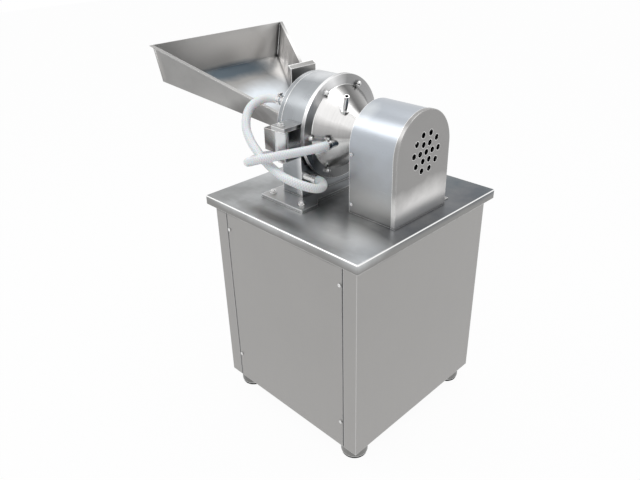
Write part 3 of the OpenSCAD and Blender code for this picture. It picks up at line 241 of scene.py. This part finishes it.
class Finish:
    """One material, and the single way to add nodes to it."""

    def __init__(self, name, color, roughness, metallic=0.0, **constants):
        self.material = bpy.data.materials.new(name)
        self.material.use_nodes = True
        self.tree = self.material.node_tree
        self.shader = self.tree.nodes["Principled BSDF"]
        self.set("Base Color", (*color, 1))
        self.set("Roughness", roughness)
        self.set("Metallic", metallic)
        for socket, value in constants.items():
            self.set(socket.replace("_", " "), value)

    def set(self, socket, value):
        """Links a value to the shader, or writes a constant on its socket."""
        if isinstance(value, Value):
            self.tree.links.new(value.socket, self.shader.inputs[socket])
        else:
            self.shader.inputs[socket].default_value = value

    def node(self, kind, settings, inputs):
        """Adds a node, fills its inputs with values or links, and gives its outputs by name."""
        made = self.tree.nodes.new(kind)
        for key, value in settings.items():
            if key == "stops":
                ramp = made.color_ramp.elements
                while len(ramp) < len(value):
                    ramp.new(0.5)
                for element, (position, color) in zip(ramp, value):
                    element.position = position
                    element.color = (*color, 1)
            else:
                setattr(made, key, value)
        for key, value in inputs.items():
            if isinstance(value, Value):
                self.tree.links.new(value.socket, made.inputs[key])
            else:
                made.inputs[key].default_value = value
        return {output.name: Value(self, output) for output in reversed(made.outputs) if output.enabled}

    def place(self):
        """The point on the piece, in the shared frame."""
        return self.node("ShaderNodeTexCoord", {}, {})["Object"]

    def stretched(self, point, scale, center=(0, 0, 0)):
        """The point as seen from the centre, with each axis scaled by its own number."""
        moved = self.node("ShaderNodeVectorMath", {"operation": "SUBTRACT"}, {0: point, 1: center})["Vector"]
        return self.node("ShaderNodeVectorMath", {"operation": "MULTIPLY"}, {0: moved, 1: scale})["Vector"]

    def noise(self, point, scale, detail=3.0, rough=0.5):
        return self.node("ShaderNodeTexNoise", {}, {"Vector": point, "Scale": scale, "Detail": detail,
            "Roughness": rough})["Fac"]

    def remap(self, value, low, high, new_low, new_high):
        return self.node("ShaderNodeMapRange", {}, {"Value": value, 1: low, 2: high, 3: new_low,
            4: new_high})["Result"]

    def bump(self, height, strength, distance):
        self.set("Normal", self.node("ShaderNodeBump", {}, {"Strength": strength, "Distance": distance,
            "Height": height})["Normal"])

    def edge_highlight(self, width):
        """From 0 on a flat to 1 on a sharp edge, the mask of a painted highlight. A rounded normal differs
        from the true one near an edge.
        """
        rounded = self.node("ShaderNodeBevel", {"samples": 8}, {"Radius": width})["Normal"]
        true = self.node("ShaderNodeNewGeometry", {}, {})["True Normal"]
        match = self.node("ShaderNodeVectorMath", {"operation": "DOT_PRODUCT"},
            {0: rounded, 1: true})["Value"]
        return self.remap(match, 0.998, 0.93, 0.0, 1.0)

    def corner_shade(self, reach=0.014):
        """From 0 in the open to 1 in a tight corner. It is the mask of painted shade, darker where the
        corner is shut in.
        """
        open_sky = self.node("ShaderNodeAmbientOcclusion", {"samples": 6}, {"Distance": reach})["AO"]
        return self.remap(open_sky, 0.82, 0.35, 0.0, 1.0)

    def add_painted_light(self, color, place, ragged, painted_light_zones):
        """Soft patches of painted light and shade: painted reflections, highlights and shadows. Each zone is
        a centre, a reach along each axis, and a colour.
        """
        for center, reach, painted_tone in painted_light_zones:
            away = self.node("ShaderNodeVectorMath", {"operation": "LENGTH"},
                {0: self.stretched(place, tuple(1 / part for part in reach), center)})["Value"]
            color = self.two_colors(self.remap(away + ragged, 0.5, 1.3, 1.0, 0.0), color, painted_tone)
        return color

    def two_colors(self, share, first, second):
        """The first colour where the share is 0, and the second where it is 1."""
        first, second = (tone if isinstance(tone, Value) else (*tone, 1) for tone in (first, second))
        return self.node("ShaderNodeMix", {"data_type": "RGBA"}, {"Factor": share, 6: first,
            7: second})["Result"]

    def rim_highlight(self, place, center, half, width, floor_z):
        """1 on the outline of a square seen from above, and 0 further in, or below a height: the mask of a
        painted highlight along the table's top edges.
        """
        inner = self.node("ShaderNodeVectorMath", {"operation": "ABSOLUTE"}, {0: self.stretched(place,
            (1 / half, 1 / half, 0), center)})["Vector"]
        split = self.node("ShaderNodeSeparateXYZ", {}, {"Vector": inner})
        far = self.node("ShaderNodeMath", {"operation": "MAXIMUM"}, {0: split["X"], 1: split["Y"]})["Value"]
        up = self.node("ShaderNodeSeparateXYZ", {}, {"Vector": place})["Z"]
        return (self.remap(far, 1 - 2 * width / half, 1 - width / half, 0.0, 1.0)
            * self.remap(up, floor_z, floor_z + width / 2, 0.0, 1.0))

    def steel_color(self, color, extra_highlight=None, edge=0.0025, highlight_tone=0.97):
        """Painted highlight lines on the edges and painted shade in the corners, over the colour of the
        flats.
        """
        # Painted shade darkens the corners.
        color = self.two_colors(self.corner_shade() * corner_shade_share, color, corner_shade_color)
        # A painted highlight lightens the edges, and also the table's rim where one is given.
        edges = self.edge_highlight(edge)
        if extra_highlight:
            edges = self.node("ShaderNodeMath", {"operation": "MAXIMUM"}, {0: edges, 1: extra_highlight})["Value"]
        self.set("Base Color", self.two_colors(edges, color, (highlight_tone, highlight_tone, highlight_tone * 0.99)))


print("shader helpers are ready")

# %% [markdown]
# Brushed sheet has fine scratches that all run one way. They are noise that is stretched 150 times
# along the grain. They vary the roughness and the bump a little, and a slow cloudy noise varies the tone,
# as handling and a protective film leave it. The grain's direction is a parameter of the function.
#
# The zones are painted light and shade: painted reflections of what the steel mirrors in the photographer's
# studio, which isn't modelled, along with painted highlights and painted shade. Each is a centre, a reach
# along each axis, and a tone. They suit the photo's side and stay soft elsewhere. The seams are zones too:
# one is painted shade under the table's skirt, and the others are painted shade in the gaps beside the
# service panels. The edge is the width of the painted highlight on a bend, and the highlight tone is that
# line's tone.

# %% Brushed sheet
def brushed(name, tone, roughness, grain, cloud=0.08, grain_depth=0.04, painted_light_zones=(), rim_highlight=None, edge=0.0025,
        highlight_tone=0.97):
    """Steel brushed along the axis where the grain's stretch is small. Thin sheet needs a narrow painted
    edge highlight.
    """
    finish = Finish(name, tone, roughness, 1.0)
    place = finish.place()
    scratches = finish.noise(finish.stretched(place, grain), 1.0, 4.0, 0.65)
    patches = finish.noise(place, 5.0, 2.0, 0.5)
    fine = finish.noise(place, 38.0, 2.0, 0.5)
    dark = tuple(part * (1 - 2 * cloud) for part in tone)
    light = tuple(min(1.0, part * (1 + cloud)) for part in tone)
    share = finish.remap(patches * 0.75 + fine * 0.1 + scratches * 0.15, 0.38, 0.62, 0.0, 1.0)
    ragged = (patches - 0.5) * 1.1 + (fine - 0.5) * 0.3
    color = finish.add_painted_light(finish.two_colors(share, dark, light), place, ragged, painted_light_zones)
    finish.steel_color(color, finish.rim_highlight(place, *rim_highlight) if rim_highlight else None, edge=edge, highlight_tone=highlight_tone)
    finish.set("Roughness", finish.remap(scratches * 0.5 + patches * 0.5, 0.3, 0.7, roughness * 0.86,
        roughness * 1.2))
    finish.bump(scratches, grain_depth, 0.0004)
    return finish.material


along_x = (6, 900, 900)
along_y = (900, 6, 900)
along_z = (900, 900, 6)
skirt_shade_z = 0.6073
seam_half = 0.0016
table_half = 0.275
# The table's top edges carry a painted highlight line of this width.
rim_highlight_width = 0.0012
rim_floor_z = 0.6315
# Painted shade under the table's skirt, and painted shade in the gaps beside the service panels.
seam_shade_zones = [((0.122, 0.0, skirt_shade_z), (10, 10, 0.012), (0.07, 0.07, 0.07))]
for panel in ("front_panel", "rear_panel"):
    corners = [Vector(corner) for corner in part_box(panel)]
    for edge_x in (corners[0].x, corners[1].x):
        seam_shade_zones.append(((edge_x, corners[0].y, 0.3), (seam_half, 0.02, 10), (0.05, 0.05, 0.05)))
panel_steel = brushed("panel_steel", (0.385, 0.378, 0.37), 0.38, along_z, cloud=0.015,
    painted_light_zones=seam_shade_zones, highlight_tone=0.62)
# The table's zones are painted reflections: dark patches at the back and right, a darker and a bright patch
# in front, and painted shade on the skirt.
table_steel = brushed("table_steel", (0.5, 0.51, 0.515), 0.34, along_x, cloud=0.2, painted_light_zones=[
    ((0.34, 0.19, 0.635), (0.14, 0.14, 0.02), (0.08, 0.105, 0.125)),
    ((0.385, 0.06, 0.635), (0.08, 0.24, 0.02), (0.1, 0.11, 0.125)),
    ((0.08, -0.24, 0.635), (0.12, 0.025, 0.02), (0.27, 0.27, 0.265)),
    ((0.24, -0.19, 0.635), (0.14, 0.05, 0.02), (0.82, 0.83, 0.83)),
    ((0.122, 0.0, 0.609), (1.0, 1.0, 0.021), (0.27, 0.267, 0.26))],
    rim_highlight=((shift_x, 0, 0), table_half, rim_highlight_width, rim_floor_z), edge=rim_highlight_width)
# The guard's wrap has a painted bluish reflection on its upper part and a painted highlight on its near
# shoulder.
wrap_steel = brushed("wrap_steel", (0.33, 0.327, 0.323), 0.3, along_x, cloud=0.04, painted_light_zones=[
    ((0.28, 0.008, 0.9), (0.3, 0.3, 0.17), (0.44, 0.47, 0.51)),
    ((0.22, -0.07, 0.91), (0.04, 0.05, 0.03), (0.7, 0.73, 0.75))])
# The end plate has a painted light patch at its bottom.
guard_steel = brushed("guard_steel", (0.33, 0.325, 0.32), 0.32, along_y, cloud=0.03, painted_light_zones=[
    ((0.35, 0.008, 0.643), (0.02, 0.2, 0.068), (0.78, 0.77, 0.76))])
# The tray's zones are painted light and shade: a painted highlight on the far wall, painted shade on the end
# wall and in dark patches lower down, and painted reflections on the floor.
tray_steel = brushed("tray_steel", (0.37, 0.366, 0.36), 0.3, along_x, cloud=0.08, painted_light_zones=[
    ((-0.32, 0.19, 0.9), (0.12, 0.05, 0.12), (0.95, 0.94, 0.93)),
    ((-0.16, -0.09, 0.8), (0.1, 0.06, 0.05), (0.2, 0.195, 0.192)),
    ((-0.3955, 0.0, 0.94), (0.01, 0.3, 0.06), (0.42, 0.41, 0.4)),
    ((-0.38, 0.0, 0.88), (0.1, 0.14, 0.018), (0.13, 0.17, 0.205)),
    ((-0.25, 0.03, 0.825), (0.09, 0.1, 0.035), (0.72, 0.77, 0.82))], edge=0.0006)
gate_steel = brushed("gate_steel", (0.3, 0.297, 0.29), 0.3, along_y, cloud=0.05)
foot_steel = brushed("foot_steel", (0.23, 0.228, 0.222), 0.36, along_x, cloud=0.08)
plate_steel = brushed("plate_steel", (0.55, 0.55, 0.55), 0.3, along_x, cloud=0.1)
# The hinge leaf carries a painted shade patch, and the barrel stays bright.
leaf_steel = brushed("leaf_steel", (0.75, 0.76, 0.77), 0.25, along_z, cloud=0.05, painted_light_zones=[
    ((-0.01, -0.16, 0.797), (0.035, 0.03, 0.06), (0.28, 0.276, 0.27))])
print("brushed finishes:", panel_steel.name, table_steel.name, guard_steel.name)

# %% [markdown]
# Turned parts, such as the cover and its cone, carry rings round the shaft instead of straight grain.
# The distance from the shaft's axis drives the noise, so the marks become fine circles.

# %% Turned steel
shaft_y = 0.008
shaft_z = 0.807
marks_along_shaft = 40


def turned(name, tone, roughness, rings=900.0, depth=0.1, cloud=0.05, reflection_wedges=(), painted_light_zones=()):
    """Turned steel. Reflection wedges are angles round the shaft, in degrees, each with a share of the tone:
    painted reflections and highlights.
    """
    finish = Finish(name, tone, roughness, 1.0)
    place = finish.place()
    split = finish.node("ShaderNodeSeparateXYZ", {}, {"Vector": place})
    across, up = split["Y"] - shaft_y, split["Z"] - shaft_z
    reach = (across * across + up * up) ** 0.5
    line = finish.node("ShaderNodeCombineXYZ", {},
        {"X": reach * rings, "Y": split["X"] * marks_along_shaft, "Z": 0.0})["Vector"]
    marks = finish.noise(line, 1.0, 3.0, 0.6)
    patches = finish.noise(place, 14.0, 2.0, 0.5)
    dark = tuple(part * (1 - 2 * cloud) for part in tone)
    light = tuple(min(1.0, part * (1 + cloud)) for part in tone)
    color = finish.two_colors(finish.remap(marks * 0.5 + patches * 0.5, 0.35, 0.65, 0.0, 1.0), dark, light)
    # The wedges paint reflections and highlights as streaks round the shaft.
    if reflection_wedges:
        angle = finish.node("ShaderNodeMath", {"operation": "ARCTAN2"}, {0: up, 1: across})["Value"]
        share = angle / (2 * pi) + 0.5 + (patches - 0.5) * 0.06
        ramp = finish.node("ShaderNodeValToRGB", {"stops": [((degrees + 180) / 360, (part, part, part))
            for degrees, part in reflection_wedges]}, {"Fac": share})["Color"]
        color = finish.node("ShaderNodeMix", {"data_type": "RGBA", "blend_type": "MULTIPLY"},
            {"Factor": 1.0, 6: color, 7: ramp})["Result"]
    finish.steel_color(finish.add_painted_light(color, place, (patches - 0.5) * 0.8, painted_light_zones))
    finish.set("Roughness", finish.remap(patches, 0.3, 0.7, roughness * 0.8, roughness * 1.25))
    finish.bump(marks, depth, 0.0003)
    return finish.material


# The cone's and the cover's wedges are painted reflections and highlights of the polished steel.
cone_steel = turned("cone_steel", (0.95, 0.94, 0.93), 0.2, rings=700.0, depth=0.03, reflection_wedges=[
    (-180, 0.35), (-172, 0.75), (-150, 0.9), (-110, 0.8), (-88, 0.12), (-50, 0.35), (-15, 0.8), (20, 0.3),
    (62, 0.35), (92, 0.16), (108, 0.5), (125, 1.0), (150, 0.95), (165, 0.5), (180, 0.35)])
cover_steel = turned("cover_steel", (0.95, 0.95, 0.96), 0.3, rings=500.0, depth=0.08, reflection_wedges=[
    (-180, 0.6), (-165, 0.8), (-147, 0.3), (-125, 0.6), (-80, 0.25), (-20, 0.6), (30, 0.4), (84, 0.3),
    (104, 0.95), (153, 1.0), (168, 0.5), (180, 0.6)])
# The drum has a painted highlight on its top and a painted light patch low on its near side.
drum_steel = turned("drum_steel", (0.36, 0.378, 0.395), 0.28, rings=300.0, depth=0.03, painted_light_zones=[
    ((0.03, 0.0, 0.97), (0.2, 0.12, 0.035), (0.9, 0.92, 0.94)),
    ((0.08, -0.13, 0.7), (0.03, 0.05, 0.12), (0.85, 0.86, 0.87))])
bright_steel = turned("bright_steel", (0.72, 0.72, 0.72), 0.18, rings=400.0, depth=0.03)
print("turned finishes:", cone_steel.name, cover_steel.name)

# %% [markdown]
# Paint, cast iron, rubber and moulded plastic are simpler: one tone with a faint mottle,
# a roughness that varies a little, and a fine bump like orange peel or a moulded grain.

# %% Plain finishes
def mottled(name, tone, roughness, metallic=0.0, scale=60.0, depth=0.1, spread=0.15):
    finish = Finish(name, tone, roughness, metallic)
    place = finish.place()
    grain = finish.noise(place, scale, 4.0, 0.6)
    patches = finish.noise(place, 9.0, 2.0, 0.5)
    dark = tuple(part * (1 - spread) for part in tone)
    light = tuple(min(1.0, part * (1 + spread)) for part in tone)
    share = finish.remap(grain * 0.4 + patches * 0.6, 0.35, 0.65, 0.0, 1.0)
    finish.set("Base Color", finish.two_colors(share, dark, light))
    finish.set("Roughness", finish.remap(patches, 0.3, 0.7, roughness * 0.9, min(1.0, roughness * 1.15)))
    finish.bump(grain, depth, 0.0005)
    return finish.material


frame_paint = mottled("frame_paint", (0.2, 0.205, 0.21), 0.5)
motor_paint = mottled("motor_paint", (0.08, 0.12, 0.16), 0.35, depth=0.15)
cast_iron = mottled("cast_iron", (0.28, 0.285, 0.29), 0.45, metallic=1.0, scale=200.0, depth=0.3)
black_rubber = mottled("black_rubber", (0.02, 0.02, 0.02), 0.7, scale=300.0)
black_plastic = mottled("black_plastic", (0.018, 0.018, 0.02), 0.35, scale=400.0)
switch_plastic = mottled("switch_plastic", (0.09, 0.095, 0.1), 0.5, scale=400.0)
green_plastic = mottled("green_plastic", (0.02, 0.22, 0.06), 0.3, scale=400.0)
red_plastic = mottled("red_plastic", (0.45, 0.015, 0.015), 0.3, scale=400.0)
print("plain finishes are ready")

# %% [markdown]
# The hose is milky plastic with a white braid inside. Two sets of fine lines wind round it in opposite
# directions. The UV map holds turns and metres, so a sine of their sum and of their difference gives
# the two windings. The lines lighten the tone a little and stand out faintly.

# %% Hose plastic
threads_round = 6
threads_per_metre = 170


def braided_hose():
    finish = Finish("hose_plastic", (0.86, 0.88, 0.89), 0.32, Subsurface_Weight=0.25, Coat_Weight=0.15)
    uv = finish.node("ShaderNodeUVMap", {"uv_map": "braid"}, {})["UV"]
    split = finish.node("ShaderNodeSeparateXYZ", {}, {"Vector": uv})
    turns, along = split["X"], split["Y"]
    threads = []
    for way in (1, -1):
        phase = turns * (2 * pi * threads_round) + along * (way * 2 * pi * threads_per_metre)
        wave = finish.node("ShaderNodeMath", {"operation": "SINE"}, {0: phase})["Value"]
        threads.append(finish.remap(wave, 0.35, 1.0, 0.0, 1.0))
    braid = finish.node("ShaderNodeMath", {"operation": "MAXIMUM"}, {0: threads[0], 1: threads[1]})["Value"]
    finish.set("Base Color", finish.two_colors(braid, (0.74, 0.77, 0.79), (0.92, 0.93, 0.93)))
    finish.set("Roughness", 0.42 - braid * 0.1)
    finish.bump(braid, 0.12, 0.0004)
    return finish.material


hose_plastic = braided_hose()
for hose in (hose_upper, hose_lower):
    hose.data.materials.append(hose_plastic)
print("hose finish:", hose_plastic.name)

# %% [markdown]
# The tray is bent from sheet and welded at its corners. A weld bead is a row of small overlapping puddles.
# One round tube whose radius swells and shrinks every few millimetres gives that row in a single mesh.
# The corner's two ends come from the tray's box and its sloping walls, so the bead lies in the corner.

# %% Weld beads
weld_steel = mottled("weld_steel", (0.93, 0.93, 0.92), 0.25, metallic=1.0, scale=400.0, depth=0.05,
    spread=0.03)
bead_step = 0.0007
bead_radius = 0.0019


def weld_bead(name, start, end, radius, body, pitch=0.0042):
    """A rippled bead from one point to another, closed and rounded off at both ends."""
    start, end = Vector(start), Vector(end)
    direction = (end - start).normalized()
    turn, _ = ring_turn(direction, Vector((1, 0, 0)))
    shape = bmesh.new()
    count = int((end - start).length / bead_step)
    rings = []
    for i in range(count + 1):
        share = i / count
        swell = 0.72 + 0.28 * abs(cos(pi * share * (end - start).length / pitch))
        taper = min(1.0, 0.3 + 14 * share, 0.3 + 14 * (1 - share))
        rings.append(bmesh.ops.create_circle(shape, segments=10, radius=radius * swell * taper,
            matrix=Matrix.Translation(start.lerp(end, share)) @ turn.to_4x4())["verts"])
    bridge_rings(shape, rings)
    for ring in (rings[0], rings[-1]):
        bmesh.ops.contextual_create(shape, geom=ring)
    for face in shape.faces:
        face.smooth = True
    bead = to_object(name, shape)
    bead.data.materials.append(weld_steel)
    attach(bead, body)


tray_low, tray_high = (Vector(corner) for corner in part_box("feed_tray"))
tray_middle_y = 0.006
sheet = 0.002
wall_gap = 0.0012
end_gap = 0.0008
end_x = tray_low.x + sheet + end_gap
rim_half, floor_half, end_depth = 0.233, 0.2155, 0.103
for side, label in ((1, "far"), (-1, "near")):
    weld_bead("tray_weld_" + label,
        (end_x, tray_middle_y + side * (floor_half - sheet - wall_gap), tray_high.z - end_depth + 2 * sheet),
        (end_x, tray_middle_y + side * (rim_half - sheet - wall_gap), tray_high.z - 2 * sheet),
        bead_radius, "door")
print("both weld beads lie in the tray's corners")

# %% [markdown]
# Now each CAD part gets its finish. The table lists the finishes and the parts that wear them.
# Anything that isn't listed would stay grey, so the cell prints what is left over.

# %% Finishes on the parts
wearers = {
    panel_steel: ["side_sheet_left", "side_sheet_right", "front_panel", "rear_panel", "discharge_duct",
        "bag_spout"],
    foot_steel: ["foot_cups"],
    table_steel: ["table_top"],
    wrap_steel: ["belt_guard"],
    guard_steel: ["guard_end_plate", "guard_back_plate"],
    tray_steel: ["feed_tray", "feed_spout"],
    gate_steel: ["feed_gate"],
    plate_steel: ["base_plate", "hinge_bracket", "clamp_bracket"],
    leaf_steel: ["hinge_leaf"],
    cone_steel: ["water_jacket"],
    cover_steel: ["rear_cover"],
    drum_steel: ["housing", "door"],
    bright_steel: ["rotor", "rotor_pins", "pin_disc", "door_pins", "sieve_ring", "main_shaft", "shaft_nuts",
        "bearings", "motor_shaft", "mill_nipples", "door_nipples", "mill_hose_clamps",
        "door_hose_clamps", "cover_bolts", "base_bolts", "panel_screws", "guard_screws", "hinge_pin",
        "clamp_pin", "clamp_bolt"],
    frame_paint: ["frame", "motor_plate"],
    motor_paint: ["motor_body", "bearing_tube"],
    cast_iron: ["motor_pulley", "mill_pulley"],
    black_rubber: ["foot_rubbers", "cable_gland", "door_gasket", "v_belts", "hose_upper", "hose_lower"],
    black_plastic: ["clamp_knob"],
    switch_plastic: ["switch_box"],
    green_plastic: ["start_button"],
    red_plastic: ["stop_button"],
}


def wear(node, material):
    nodes[node].data.materials.clear()
    nodes[node].data.materials.append(material)


for material, names in wearers.items():
    for name in names:
        wear(name, material)
dressed = {name for names in wearers.values() for name in names}
print("parts without a finish:", sorted(set(nodes) - dressed))

# %% [markdown]
# The floor is plain and nearly white. It is stage, not part of the machine.
# It shows the camera only a little of its own shade, so the shadow on it stays very faint, as in the photo.

# %% Floor
glow_share = 0.96
stage_half = 9.0


def white_floor():
    """A white surface that shows only a part of its own shade to the camera and in reflections."""
    finish = Finish("floor_white", (0.9, 0.9, 0.9), 0.9)
    path = finish.node("ShaderNodeLightPath", {}, {})
    seen = finish.node("ShaderNodeMath", {"operation": "MAXIMUM"}, {0: path["Is Camera Ray"],
        1: path["Is Glossy Ray"]})["Value"]
    seen = finish.node("ShaderNodeMath", {"operation": "MAXIMUM"}, {0: seen,
        1: path["Is Transmission Ray"]})["Value"]
    glow = finish.node("ShaderNodeEmission", {}, {"Color": (1, 1, 1, 1), "Strength": 1.0})["Emission"]
    shade = Value(finish, finish.shader.outputs["BSDF"])
    both = finish.node("ShaderNodeMixShader", {}, {"Fac": seen * glow_share, 1: shade, 2: glow})["Shader"]
    finish.tree.links.new(both.socket, finish.tree.nodes["Material Output"].inputs["Surface"])
    return finish.material


floor_shape = bmesh.new()
bmesh.ops.create_grid(floor_shape, x_segments=1, y_segments=1, size=stage_half)
floor_mesh = bpy.data.meshes.new("floor")
floor_shape.to_mesh(floor_mesh)
floor_shape.free()
floor = bpy.data.objects.new("floor", floor_mesh)
bpy.context.scene.collection.objects.link(floor)
floor.data.materials.append(white_floor())
print("floor size in metres:", 2 * stage_half)

# %% [markdown]
# The world is white wherever the camera or a reflection looks at it, as in the photograph.
# Matt surfaces get a softer share of light from it, and the lamps add the rest.

# %% World
matt_light = (0.62, 0.63, 0.65, 1)
seen_light = (1, 1, 1, 1)
world = bpy.data.worlds.new("studio")
bpy.context.scene.world = world
world.use_nodes = True
world_tree = world.node_tree
light_path = world_tree.nodes.new("ShaderNodeLightPath")
seen = light_path.outputs["Is Camera Ray"]
for ray in ("Is Glossy Ray", "Is Transmission Ray"):
    either = world_tree.nodes.new("ShaderNodeMath")
    either.operation = "MAXIMUM"
    world_tree.links.new(seen, either.inputs[0])
    world_tree.links.new(light_path.outputs[ray], either.inputs[1])
    seen = either.outputs[0]
shade = world_tree.nodes.new("ShaderNodeMix")
shade.data_type = "RGBA"
shade.inputs[6].default_value = matt_light
shade.inputs[7].default_value = seen_light
world_tree.links.new(seen, shade.inputs["Factor"])
world_tree.links.new(shade.outputs[2], world_tree.nodes["Background"].inputs["Color"])
world_tree.nodes["Background"].inputs["Strength"].default_value = 1.0
bpy.context.scene.view_settings.view_transform = "Standard"
print("the world is white")

# %% [markdown]
# Two large soft lamps stand where a photographer's soft boxes would: a key lamp on the left, and one above.
# They are weak, because the white world already gives most of the light.

# %% Lamps
def soft_lamp(name, place, target, size, power):
    lamp = bpy.data.lights.new(name, "AREA")
    lamp.shape = "RECTANGLE"
    lamp.size, lamp.size_y = size
    lamp.energy = power
    holder = bpy.data.objects.new(name, lamp)
    bpy.context.scene.collection.objects.link(holder)
    holder.location = place
    holder.rotation_euler = (Vector(target) - Vector(place)).to_track_quat("-Z", "Y").to_euler()


soft_lamp("key", (-1.2, -1.6, 2.9), (0, 0, 0.7), (1.6, 1.6), 17)
soft_lamp("top", (0.2, 0.6, 3.0), (0, 0, 0.8), (2.2, 1.4), 18)
print("lamps are up")
